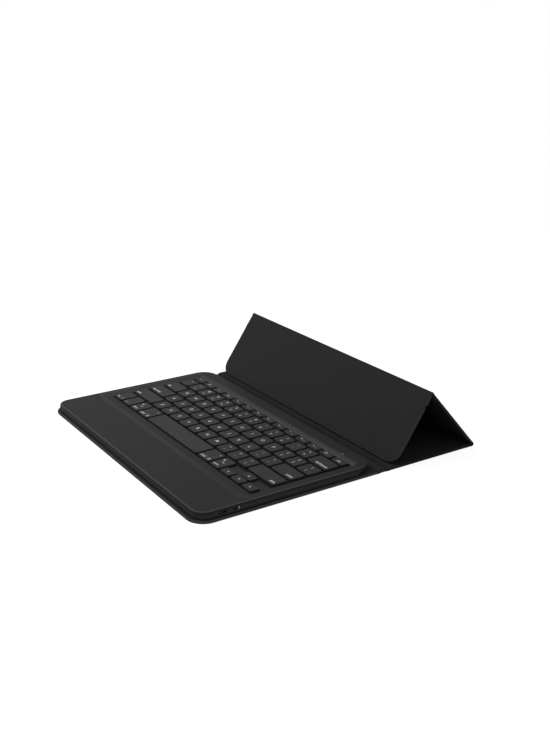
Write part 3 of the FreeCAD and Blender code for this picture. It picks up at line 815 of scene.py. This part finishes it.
casing = {
    "corner": 13.0 * mm,
    "rearCorner": 17.0 * mm,
    "rearLean": math.radians(44),
    "rearSet": 0.6 * mm,
    "plinthInset": 1.6 * mm,
    "plinthTop": 2.9 * mm,
    "footRound": 0.4 * mm,
    "floorTop": 3.7 * mm,
    "wall": 1.6 * mm,
    "partingGap": 0.12 * mm,
    "deckTaper": math.radians(14),
    "deckRound": 1.0 * mm,
    "rim": (-149.5 * mm, 149.5 * mm, -106.0 * mm, 20.5 * mm),
    "foot": (-144.0 * mm, 144.0 * mm, -99.0 * mm, 16.4 * mm),
    "rimCorner": 8.0 * mm,
    "footCorner": 5.25 * mm,
    "wellFloor": 7.4 * mm,
    # down the slope of the well: how far in and how far down, as shares
    "slopeIn": [-0.14, -0.07, 0.08, 0.24, 0.80, 0.93, 1.0],
    "slopeDown": [0.0, 0.0, 0.05, 0.19, 0.80, 0.96, 1.0],
    "crease": 28,
    # painted highlight for each ring: along the top edge, and as thin lines on the rim and the foot of the
    # well's slope
    "highlightRings": [0.0, 0.0, 0.0, 0.0, 0.3, 0.7, 1.0, 1.0, 0.8, 0.0, 0.0, 0.10, 0.24, 0.16, 0.16, 0.24, 0.16],
    "sideHighlight": 3.0,
    "rearHighlight": 2.6,
    "footHighlight": 1.4,
    "highlightEnd": 27.0 * mm,
    "highlightFade": 10.0 * mm,
    "rimMargin": 1.0 * mm,
}
caseLow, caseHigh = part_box("bottom_case")
shellLow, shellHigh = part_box("top_shell")
caseBox = (caseLow.x, caseHigh.x, caseLow.y, caseHigh.y)


def rearShift(z):
    # the rear wall slopes in below its top edge, and the deck's own taper is undone there
    tapered = min(max(z - caseHigh.z, 0.0), shellHigh.z - casing["deckRound"] - caseHigh.z)
    overhang = (shellHigh.z - z) * math.tan(casing["rearLean"])
    return casing["rearSet"] + overhang - tapered * math.tan(casing["deckTaper"])


def caseRing(inset, z):
    left, right, front, rear = caseBox
    radii = [casing["corner"], casing["rearCorner"], casing["rearCorner"], casing["corner"]]
    outline = roundedOutline((left, right, front, rear - rearShift(z)), radii, inset, fineSteps)
    return [(x, y, z) for x, y in outline]


def wellRing(share, z):
    # an outline on the slope of the key well: 0 is its rim, 1 its foot
    box = [rim + (foot - rim) * share for rim, foot in zip(casing["rim"], casing["foot"])]
    radius = casing["rimCorner"] + (casing["footCorner"] - casing["rimCorner"]) * share
    return [(x, y, z) for x, y in roundedOutline(box, [radius] * 4, 0.0, fineSteps)]


def makeTray():
    inset, foot, split = casing["plinthInset"], casing["footRound"], caseHigh.z
    gap, wall = casing["partingGap"], casing["wall"]
    section = [(inset + foot, caseLow.z), (inset, caseLow.z), (inset, casing["plinthTop"])]
    section += [(foot + gap, casing["plinthTop"])]
    section += quarterArc(foot, casing["plinthTop"], 0.0, casing["plinthTop"] + foot, False)
    section += [(0.0, split - 2 * gap), (gap, split - gap / 2), (3 * gap, split - gap / 2)]
    section += [(3 * gap, split), (wall, split)]
    section += [(wall, casing["floorTop"]), (wall + foot, casing["floorTop"])]
    form = loft([caseRing(*pair) for pair in section])
    tray = addPiece("trayMoulding", form, finishes["case"], casing["crease"])
    cutPorts(tray)
    seat(tray, "keyboard", "case_plastic", "bottom_case")


socket = {
    "y": -114.5 * mm,
    "z": 5.7 * mm,
    "width": 7.5 * mm,
    "height": 2.3 * mm,
    "chamfer": 1.0 * mm,
    "sheet": 0.28 * mm,
    "depth": 5.2 * mm,
    "lip": 0.12 * mm,
}
slide = {
    "slotWidth": 8.0 * mm,
    "slotHeight": 2.4 * mm,
    "slotY": -127.0 * mm,
    "slotSteps": 8,
    "knobRound": 0.35 * mm,
    "knobPlay": 0.3 * mm,
    "ridges": 3,
}


def socketOutline(shrink):
    # the plug's keyed shape: straight top, lower corners cut off
    half, tall, cut = socket["width"] / 2 - shrink, socket["height"] / 2 - shrink, socket["chamfer"]
    points = [(-half, tall), (-half, -tall + cut), (-half + cut, -tall)]
    points += [(half - cut, -tall), (half, -tall + cut), (half, tall)]
    return [(socket["y"] + y, socket["z"] + z) for y, z in points]


def slotOutline():
    # a slot with round ends
    tall = slide["slotHeight"] / 2
    reach = slide["slotWidth"] / 2 - tall
    points = []
    for side in (1, -1):
        for step in range(slide["slotSteps"] + 1):
            angle = math.radians(-90 + 180 * step / slide["slotSteps"])
            points.append((side * (reach + tall * math.cos(angle)), side * tall * math.sin(angle)))
    return [(slide["slotY"] + y, socket["z"] + z) for y, z in points]


def cutPorts(tray):
    inside, outside = caseHigh.x - 2 * casing["wall"], caseHigh.x + casing["wall"]
    cutters = []
    for outline in (socketOutline(-socket["lip"]), slotOutline()):
        cutters.append(loft([[(x, y, z) for y, z in outline] for x in (inside, outside)]))
    knife = addPiece("portKnife", joinForms(cutters), finishes["case"])
    cut = tray.modifiers.new("ports", "BOOLEAN")
    cut.object = knife
    cut.solver = "EXACT"
    done = workedOut(tray)
    tray.modifiers.remove(cut)
    tray.data = done
    done.set_sharp_from_angle(angle=math.radians(casing["crease"]))
    bpy.data.objects.remove(knife)


def wearAt(place):
    # painted highlight: strongest on the well's slope along the left and the foot of the rear, none
    # along the right; on the outer edge it fades toward the rear
    left, right, front, rear = casing["rim"]
    margin = casing["rimMargin"]
    within = left - margin <= place.x <= right + margin and front - margin <= place.y <= rear + margin
    if not within:
        return min(1.0, max(0.0, (casing["highlightEnd"] - place.y) / casing["highlightFade"]))
    if place.x > casing["foot"][1]:
        return 0.0
    if place.x < casing["foot"][0]:
        return casing["sideHighlight"]
    if place.y <= casing["foot"][3]:
        return 1.0
    down = (rear - place.y) / (rear - casing["foot"][3])
    return casing["rearHighlight"] * (1 + casing["footHighlight"] * max(0.0, down) ** 2)


def makeShell():
    split, top, bend = shellLow.z + casing["partingGap"] / 2, shellHigh.z, casing["deckRound"]
    gap, slope = casing["partingGap"], math.tan(casing["deckTaper"])
    lean = (top - bend - split) * slope
    section = [(gap, split), (0.0, split + 2 * gap)]
    section += quarterArc(lean, top - bend, lean + bend, top, True, 6)
    section += [(lean + 2 * bend, top)]
    rings = [caseRing(*pair) for pair in section]
    drop = top - casing["wellFloor"]
    slopeLine = zip(casing["slopeIn"], casing["slopeDown"])
    rings += [wellRing(share, top - drop * fall) for share, fall in slopeLine]
    rings += [wellRing(1.0, split)]
    deck = addPiece("deckMoulding", loft(rings, closed=True), finishes["deck"], casing["crease"])
    # marks the painted highlight on the deck's rings
    markRings(deck, len(rings[0]), casing["highlightRings"], wearAt)
    seat(deck, "keyboard", "deck_plastic", "top_shell")


makeTray()
makeShell()
print("casing made")


# charging socket, power switch and status light

light = {
    "share": 0.8,  # of the node's own width
    "points": 24,
    "crown": [(1.0, 0.0), (0.9, 0.04 * mm), (0.5, 0.07 * mm)],  # share of the radius, height above the node
}


def sideLoft(box, radius, section, steps):
    # a rounded block that points out of the right side; its section is (x, inset) pairs
    rings = []
    for x, inset in section:
        rings.append([(x, y, z) for y, z in roundedOutline(box, [radius] * 4, inset, steps)])
    return loft(rings)


def makeSocket():
    back, front = caseHigh.x - socket["depth"], caseHigh.x - socket["lip"]
    sheet = socket["sheet"]
    walls = [(back, 0.0), (front, 0.0), (front + socket["lip"] / 2, sheet / 2)]
    walls += [(front, sheet), (back + sheet, sheet)]
    rings = [[(x, y, z) for y, z in socketOutline(shrink)] for x, shrink in walls]
    shell = addPiece("socketShell", loft(rings), finishes["plated"], crease=25)
    seat(shell, "keyboard", "socket_metal", "usb_shell")
    low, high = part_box("usb_tongue")
    box = (low.y, high.y, low.z, high.z)
    section = [(low.x, 0.0), (high.x - sheet, 0.0), (high.x, sheet / 4)]
    tongue = addPiece("socketTongue", sideLoft(box, sheet / 2, section, 3), finishes["black"], crease=35)
    seat(tongue, "keyboard", "socket_plastic", "usb_tongue")


def makeKnob():
    low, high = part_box("power_switch_knob")
    box = (low.y, high.y, low.z, high.z)
    bend, play = slide["knobRound"], slide["knobPlay"]
    section = [(low.x, 0.0), (low.x + play, 0.0), (low.x + 2 * play, play)]
    section += [(high.x - bend, play), (high.x - bend / 3, play + bend / 3), (high.x, play + bend)]
    forms = [sideLoft(box, bend, section, 4)]
    pitch = (high.y - low.y - 2 * play) / (slide["ridges"] + 1)
    for index in range(slide["ridges"]):
        middle = low.y + play + pitch * (index + 1)
        ridge = (middle - bend / 2, middle + bend / 2, low.z + play + bend / 2, high.z - play - bend / 2)
        section = [(high.x - bend, 0.0), (high.x + bend / 3, bend / 6)]
        forms.append(sideLoft(ridge, bend / 2, section, 3))
    knob = addPiece("switchKnob", joinForms(forms), finishes["case"], crease=35)
    seat(knob, "power_switch", "socket_plastic", "power_switch_knob")


def makeLight():
    low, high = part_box("status_light")
    middle, radius = (low + high) / 2, (high.x - low.x) / 2 * light["share"]
    turns = [math.radians(360 * step / light["points"]) for step in range(light["points"])]
    rings = []
    for reach, z in [(radius, low.z)] + [(radius * share, high.z + rise) for share, rise in light["crown"]]:
        rings.append([(middle.x + reach * math.cos(t), middle.y + reach * math.sin(t), z) for t in turns])
    lens = addPiece("statusLens", loft(rings), finishes["lens"], crease=40)
    seat(lens, "keyboard", "light_lens", "status_light")


makeSocket()
makeKnob()
makeLight()
print("ports made")


# keys

caps = {
    "flare": 0.35 * mm,
    "corner": 2.2 * mm,
    "edge": 0.50 * mm,
    "shoulder": 0.80 * mm,
    "topShares": (0.2, 0.45, 0.7, 0.9),  # rings from the shoulder to the middle of the top
    "dish": 0.16 * mm,
    "wall": 1.0 * mm,
    "pointPitch": 3.0 * mm,
    "printLift": 0.025 * mm,
    "sideMargin": 2.2 * mm,
    "frontMargin": 3.6 * mm,
    "leastGap": 0.1 * mm,
    "sameWidth": 0.05 * mm,  # caps that differ by less are alike
}


def keyPlaces(node):
    # the keys of a row node, left to right, found from the gaps between its faces
    mesh = nodes[node].data
    edges = [[mesh.vertices[i].co.x for i in face.vertices] for face in mesh.polygons]
    spans = sorted((min(xs), max(xs)) for xs in edges)
    merged = [list(spans[0])]
    for left, right in spans[1:]:
        if left > merged[-1][1] + caps["leastGap"]:
            merged.append([left, right])
        else:
            merged[-1][1] = max(merged[-1][1], right)
    low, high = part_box(node)
    flare = caps["flare"]
    return [(left + flare, right - flare, low.y + flare, high.y - flare) for left, right in merged]


def capTop(key, x, y, top):
    # a shallow dish across the key, deepest along its middle
    left, right, front, rear = key
    across = min(1.0, abs(2 * x - left - right) / (right - left))
    along = min(1.0, abs(2 * y - front - rear) / (rear - front))
    return top - caps["dish"] * (1 - across ** 4) * (1 - along ** 2)


def capForm(key, low, top):
    # hollow underneath, so that a pressed cap passes over its dome
    corner, edge, wall = [caps["corner"]] * 4, caps["edge"], caps["wall"]
    shoulder = caps["shoulder"]
    room = min(key[1] - key[0], key[3] - key[2]) / 2
    sides = [max(2, round((key[i + 1] - key[i]) / caps["pointPitch"])) for i in (0, 2)]

    def ring(inset, z=None):
        outline = roundedOutline(key, corner, inset, 5, sides)
        return [(x, y, capTop(key, x, y, top) if z is None else z) for x, y in outline]

    rings = [ring(wall, top - wall), ring(wall, low)]
    rings += [ring(-caps["flare"], low), ring(0.0, top - edge)]
    rings += [ring(inset, z) for inset, z in quarterArc(0.0, top - edge, edge, top, True)[1:-1]]
    rings += [ring(edge), ring(shoulder)]
    rings += [ring(shoulder + (room - shoulder) * share) for share in caps["topShares"]]
    return loft(rings)


def runsOf(keys):
    # equal neighbours share one run: first key, how many, pitch
    runs = []
    for key in keys:
        width = key[1] - key[0]
        if runs and abs(runs[-1][0][1] - runs[-1][0][0] - width) < caps["sameWidth"]:
            first, count, _ = runs[-1]
            runs[-1] = (first, count + 1, (key[0] - first[0]) / count)
        else:
            runs.append((key, 1, 0.0))
    return runs


def makeCaps(node):
    low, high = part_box(node)
    keys = keyPlaces(node)
    forms = []
    for first, count, pitch in runsOf(keys):
        shape = meshOf(node, capForm(first, low.z, high.z))
        values = {"Count": count, "Pitch": (pitch, 0.0, 0.0), "Finish": finishes["caps"]}
        forms.append(formOf(bakeTree(node, shape, rowAlongX, values)))
    piece = addPiece(node + "Caps", joinForms(forms), finishes["caps"], crease=30)
    seat(piece, node, "key_plastic", node)
    return keys


legend = {
    "letter": 5.0 * mm,
    "sign": 4.0 * mm,
    "word": 4.3 * mm,
    "small": 3.2 * mm,
    "mark": 2.0 * mm,
    "icon": 1.3 * mm,
    "arrow": 1.2 * mm,
    "bold": 0.018,  # share of the size
    "spread": 3.6 * mm,  # from the middle of a cap to each sign of a pair
    "iconAt": (-2.0 * mm, 0.6 * mm),  # on a function key, from its middle
    "markAt": (2.4 * mm, -0.6 * mm),
    "lockRow": -0.2 * mm,
    "fnDot": (4.0 * mm, 2.2 * mm),  # how far right, and how large
    "altRow": 11.0 * mm,
    "altIcon": (0.4 * mm, 1.5 * mm),  # how far back, and how large
    "cmdSide": 3.6 * mm,  # from the right edge of the cap
    "cmdRear": 4.0 * mm,
    "cmdTiles": 1.4 * mm,
    "cmdDot": 1.2 * mm,
}


def glyphForm(text, size):
    # letters as a flat mesh, centred on their own outline
    curve = bpy.data.curves.new("glyph", "FONT")
    curve.body = text
    curve.size = size
    curve.offset = size * legend["bold"]
    curve.resolution_u = 2
    carrier = show("glyph", curve)
    form = formOf(workedOut(carrier))
    bpy.data.objects.remove(carrier)
    bpy.data.curves.remove(curve)
    spanX = [vert.co.x for vert in form.verts]
    spanY = [vert.co.y for vert in form.verts]
    middle = Vector(((min(spanX) + max(spanX)) / 2, (min(spanY) + max(spanY)) / 2, 0))
    bmesh.ops.translate(form, verts=form.verts, vec=-middle)
    return form, max(spanX) - min(spanX)


def polygonForm(loops):
    form = bmesh.new()
    for loop in loops:
        form.faces.new([form.verts.new((x, y, 0)) for x, y in loop])
    bmesh.ops.recalc_face_normals(form, faces=form.faces)
    if form.faces[:] and form.faces[0].normal.z < 0:
        bmesh.ops.reverse_faces(form, faces=form.faces)
    return form


def arrowForm(size, turn):
    points = [(size, 0), (-size * 0.7, size * 0.85), (-size * 0.7, -size * 0.85)]
    c, s = math.cos(math.radians(turn)), math.sin(math.radians(turn))
    return polygonForm([[(x * c - y * s, x * s + y * c) for x, y in points]])


def ringLoops(radius, thick, count=16):
    loops = []
    for i in range(count):
        a, b = (2 * math.pi * k / count for k in (i, i + 1))
        corners = ((radius, a), (radius, b), (radius - thick, b), (radius - thick, a))
        loops.append([(reach * math.cos(turn), reach * math.sin(turn)) for reach, turn in corners])
    return loops


def bar(x, y, width, height):
    return [(x + i * width, y + j * height) for i, j in ((-1, -1), (1, -1), (1, 1), (-1, 1))]


def wedge(x, size, side):
    return [(x + side * size, 0), (x - side * size * 0.7, size), (x - side * size * 0.7, -size)]


def iconLoops(kind, size):
    thin, tile, arm, apart = size * 0.18, size * 0.38, size * 0.55, size * 0.6
    drawn = {
        "dot": ringLoops(size * 0.55, size * 0.54),
        "ring": ringLoops(size, thin),
        "lens": ringLoops(size * 0.75, thin) + [bar(size * 0.85, -size * 0.8, thin, thin)],
        "pane": [bar(0, y * size * 0.7, size, thin) for y in (1, -1)] + [bar(0, 0, size * 0.7, thin)],
        "tiles": [bar(x * apart, y * apart, tile, tile) for x in (-1, 1) for y in (-1, 1)],
        "back": [wedge(-size * 0.5, apart, -1), wedge(apart, apart, -1)],
        "play": [wedge(0, size * 0.85, 1)],
        "next": [wedge(-size * 0.5, apart, 1), wedge(apart, apart, 1)],
        "minus": [bar(0, 0, size * 0.9, thin)],
        "plus": [bar(0, 0, size * 0.9, thin)] + [bar(0, y, thin, size * 0.36) for y in (arm, -arm)],
        "cross": [bar(0, 0, size * 0.8, thin), bar(0, size * 0.5, size * 0.4, thin)],
    }
    return drawn[kind]


def printOn(key, top, form, x, y):
    # lays a flat shape on the key's dished top, as a thin layer sunk into it
    bmesh.ops.translate(form, verts=form.verts, vec=Vector((x, y, 0)))
    bmesh.ops.remove_doubles(form, verts=form.verts, dist=caps["printLift"] / 10)
    foot = bmesh.ops.extrude_face_region(form, geom=form.faces[:], use_keep_orig=True)["geom"]
    for vert in form.verts:
        vert.co.z = capTop(key, vert.co.x, vert.co.y, top) + caps["printLift"]
    for vert in foot:
        if isinstance(vert, bmesh.types.BMVert):
            vert.co.z -= 2 * caps["printLift"]
    bmesh.ops.recalc_face_normals(form, faces=form.faces)
    return form


def middleOf(key):
    return (key[0] + key[1]) / 2, (key[2] + key[3]) / 2


def signPrint(key, top, sign):
    # one letter in the middle, or a pair: the shifted sign behind, the plain one in front
    x, y = middleOf(key)
    spots = [(sign, legend["letter"], 0.0)]
    if len(sign) == 2:
        small, shift = legend["sign"], legend["spread"]
        spots = [(sign[1], small, shift), (sign[0], small, -shift)]
    return [printOn(key, top, glyphForm(text, size)[0], x, y + row) for text, size, row in spots]


def wordPrint(key, top, word, side, size=None, row=0.0):
    # a word at the key's front, at its left, its right or, for side 0, its middle
    form, width = glyphForm(word, size or legend["word"])
    margin = caps["sideMargin"] + width / 2
    x = key[0] + margin if side < 0 else key[1] - margin if side > 0 else middleOf(key)[0]
    return [printOn(key, top, form, x, key[2] + caps["frontMargin"] + row)]


def iconPrint(key, top, kind, x, y, size):
    return printOn(key, top, polygonForm(iconLoops(kind, size)), x, y)


pairRows = {
    "number_keys": ["`~", "1!", "2@", "3#", "4$", "5%", "6^", "7&", "8*", "9(", "0)", "-_", "=+"],
    "upper_letter_keys": list("QWERTYUIOP") + ["[{", "]}", "\\|"],
    "home_letter_keys": list("ASDFGHJKL") + [";:", "'\""],
    "lower_letter_keys": list("ZXCVBNM") + [",<", ".>", "/?"],
}
functionIcons = "ring tiles lens pane dot cross back play next minus plus dot tiles".split()
words = {
    "backspace_key": ("backspace", 1),
    "tab_key": ("tab", -1),
    "caps_lock_key": ("caps lock", -1),
    "enter_key": ("enter", 1),
    "left_shift_key": ("shift", -1),
    "right_shift_key": ("shift", 1),
}
arrows = {"left_arrow_key": 180, "up_arrow_key": 90, "down_arrow_key": -90, "right_arrow_key": 0}


def functionPrint(keys, top):
    white, blue = [], []
    (iconX, iconY), (markX, markY) = legend["iconAt"], legend["markAt"]
    for index, key in enumerate(keys[:-1]):
        x, y = middleOf(key)
        white.append(iconPrint(key, top, functionIcons[index], x + iconX, y + iconY, legend["icon"]))
        mark, _ = glyphForm("F" + str(index) if index else "esc", legend["mark"])
        blue.append(printOn(key, top, mark, x + markX, y + markY))
    white += wordPrint(keys[-1], top, "lock", 0, legend["small"], legend["lockRow"])
    return white, blue


def bottomPrint(node, key, top):
    white, blue = [], []
    x, y = middleOf(key)
    front = key[2] + caps["frontMargin"]
    if node == "fn_key":
        white += wordPrint(key, top, "fn", -1)
        shift, size = legend["fnDot"]
        blue.append(iconPrint(key, top, "dot", x + shift, front, size))
    elif node == "ctrl_key":
        blue += wordPrint(key, top, "ctrl", -1, legend["small"])
    elif node in ("left_alt_key", "right_alt_key"):
        white += wordPrint(key, top, "option", -1, legend["small"])
        white += wordPrint(key, top, "alt", -1, legend["small"], legend["altRow"])
        shift, size = legend["altIcon"]
        white.append(iconPrint(key, top, "next", x, y + shift, size))
    elif node in ("left_cmd_key", "right_cmd_key"):
        white += wordPrint(key, top, "cmd", -1)
        side = key[1] - legend["cmdSide"]
        white.append(iconPrint(key, top, "tiles", side, front, legend["cmdTiles"]))
        white.append(iconPrint(key, top, "dot", side, key[3] - legend["cmdRear"], legend["cmdDot"]))
    return white, blue


def makeKey(node):
    keys = makeCaps(node)
    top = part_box(node)[1].z
    white, blue = [], []
    if node in pairRows:
        for key, sign in zip(keys, pairRows[node]):
            white += signPrint(key, top, sign)
    elif node == "function_keys":
        white, blue = functionPrint(keys, top)
    elif node in words:
        white = wordPrint(keys[0], top, *words[node])
    elif node in arrows:
        arrow = arrowForm(legend["arrow"], arrows[node])
        white = [printOn(keys[0], top, arrow, *middleOf(keys[0]))]
    else:
        white, blue = bottomPrint(node, keys[0], top)
    for ink, forms in (("white", white), ("blue", blue)):
        if forms:
            layer = addPiece(node + ink.capitalize() + "Print", joinForms(forms), finishes[ink])
            seat(layer, node, "key_plastic")


for name in frame["bodies"]:
    if name.endswith(("_keys", "_key", "space_bar")):
        makeKey(name)
print("keys made")


# stage, light and camera

stage = {"size": 400.0, "colour": 0.35, "lift": 0.88, "shade": 0.24}
sky = {"level": 0.50}
lamp = {"at": (-0.30, -0.32, 0.62), "toward": (0.0, -0.04, 0.0), "size": 0.5, "watts": 3.6}
fill = {"from": (0.90, -0.20, 0.39), "strength": 0.35, "spread": math.radians(60)}


def makeFloor():
    mesh = bpy.data.meshes.new("floor")
    half = stage["size"] / 2
    mesh.from_pydata([(x, y, 0) for x, y in bar(0, 0, half, half)], [], [(0, 1, 2, 3)])
    floor = show("floor", mesh)
    finish = Finish("paleFloor")
    matt = finish.node("ShaderNodeBsdfDiffuse", {}, {"Color": grey(stage["colour"])})
    faint = finish.node("ShaderNodeBsdfDiffuse", {}, {"Color": grey(stage["shade"])})
    glow = finish.node("ShaderNodeEmission", {}, {"Color": grey(1.0), "Strength": stage["lift"]})
    pale = finish.node("ShaderNodeAddShader", {}, {0: faint, 1: glow})
    mixed = finish.node("ShaderNodeMixShader", {}, {0: finish.seen(), 1: matt, 2: pale})
    finish.plug(finish.tree.nodes["Material Output"].inputs["Surface"], mixed)
    mesh.materials.append(finish.material)


def makeSky():
    world = bpy.data.worlds.new("studio")
    bpy.context.scene.world = world
    world.use_nodes = True
    world.node_tree.nodes.clear()
    studio = Wiring(world.node_tree)
    soft = studio.node("ShaderNodeBackground", {}, {"Color": grey(1.0), "Strength": sky["level"]})
    bright = studio.node("ShaderNodeBackground", {}, {"Color": grey(1.0)})
    mixed = studio.node("ShaderNodeMixShader", {}, {0: studio.seen(), 1: soft, 2: bright})
    output = world.node_tree.nodes.new("ShaderNodeOutputWorld")
    studio.plug(output.inputs["Surface"], mixed)


def hangLamp(data, place, aim):
    hung = show(data.name, data)
    turn = (aim - place).to_track_quat("-Z", "Y").to_matrix()
    hung.matrix_world = Matrix.Translation(place) @ turn.to_4x4()
    hung.visible_camera = False


def makeLamps():
    softBox = bpy.data.lights.new("softBox", "AREA")
    softBox.shape = "DISK"
    softBox.size = lamp["size"]
    softBox.energy = lamp["watts"]
    hangLamp(softBox, Vector(lamp["at"]), Vector(lamp["toward"]))
    sideFill = bpy.data.lights.new("sideFill", "SUN")
    sideFill.energy = fill["strength"]
    sideFill.angle = fill["spread"]
    hangLamp(sideFill, Vector(fill["from"]), Vector())


view = {
    "at": (0.8265, -0.5098, 0.4037),
    "azimuth": math.radians(57.124),
    "elevation": math.radians(19.269),
    "roll": math.radians(-0.127),
    "focalPixels": 1033.985,
    "framePixels": 734,
    "sensor": 36.0,
    "near": 0.01,
}


def makeCamera():
    a, e = view["azimuth"], view["elevation"]
    back = Vector((math.sin(a) * math.cos(e), -math.cos(a) * math.cos(e), math.sin(e)))
    right = Vector((math.cos(a), math.sin(a), 0))
    axes = Matrix((right, back.cross(right), back)).transposed()
    data = bpy.data.cameras.new("photoCamera")
    data.sensor_fit = "AUTO"
    data.sensor_width = view["sensor"]
    data.lens = view["focalPixels"] * view["sensor"] / view["framePixels"]
    data.clip_start = view["near"]
    camera = show("photoCamera", data)
    upright = Matrix.Translation(view["at"]) @ axes.to_4x4()
    camera.matrix_world = upright @ Matrix.Rotation(view["roll"], 4, "Z")
    bpy.context.scene.camera = camera


makeFloor()
makeSky()
makeLamps()
makeCamera()
bpy.context.scene.view_settings.view_transform = "Standard"
print("stage made")
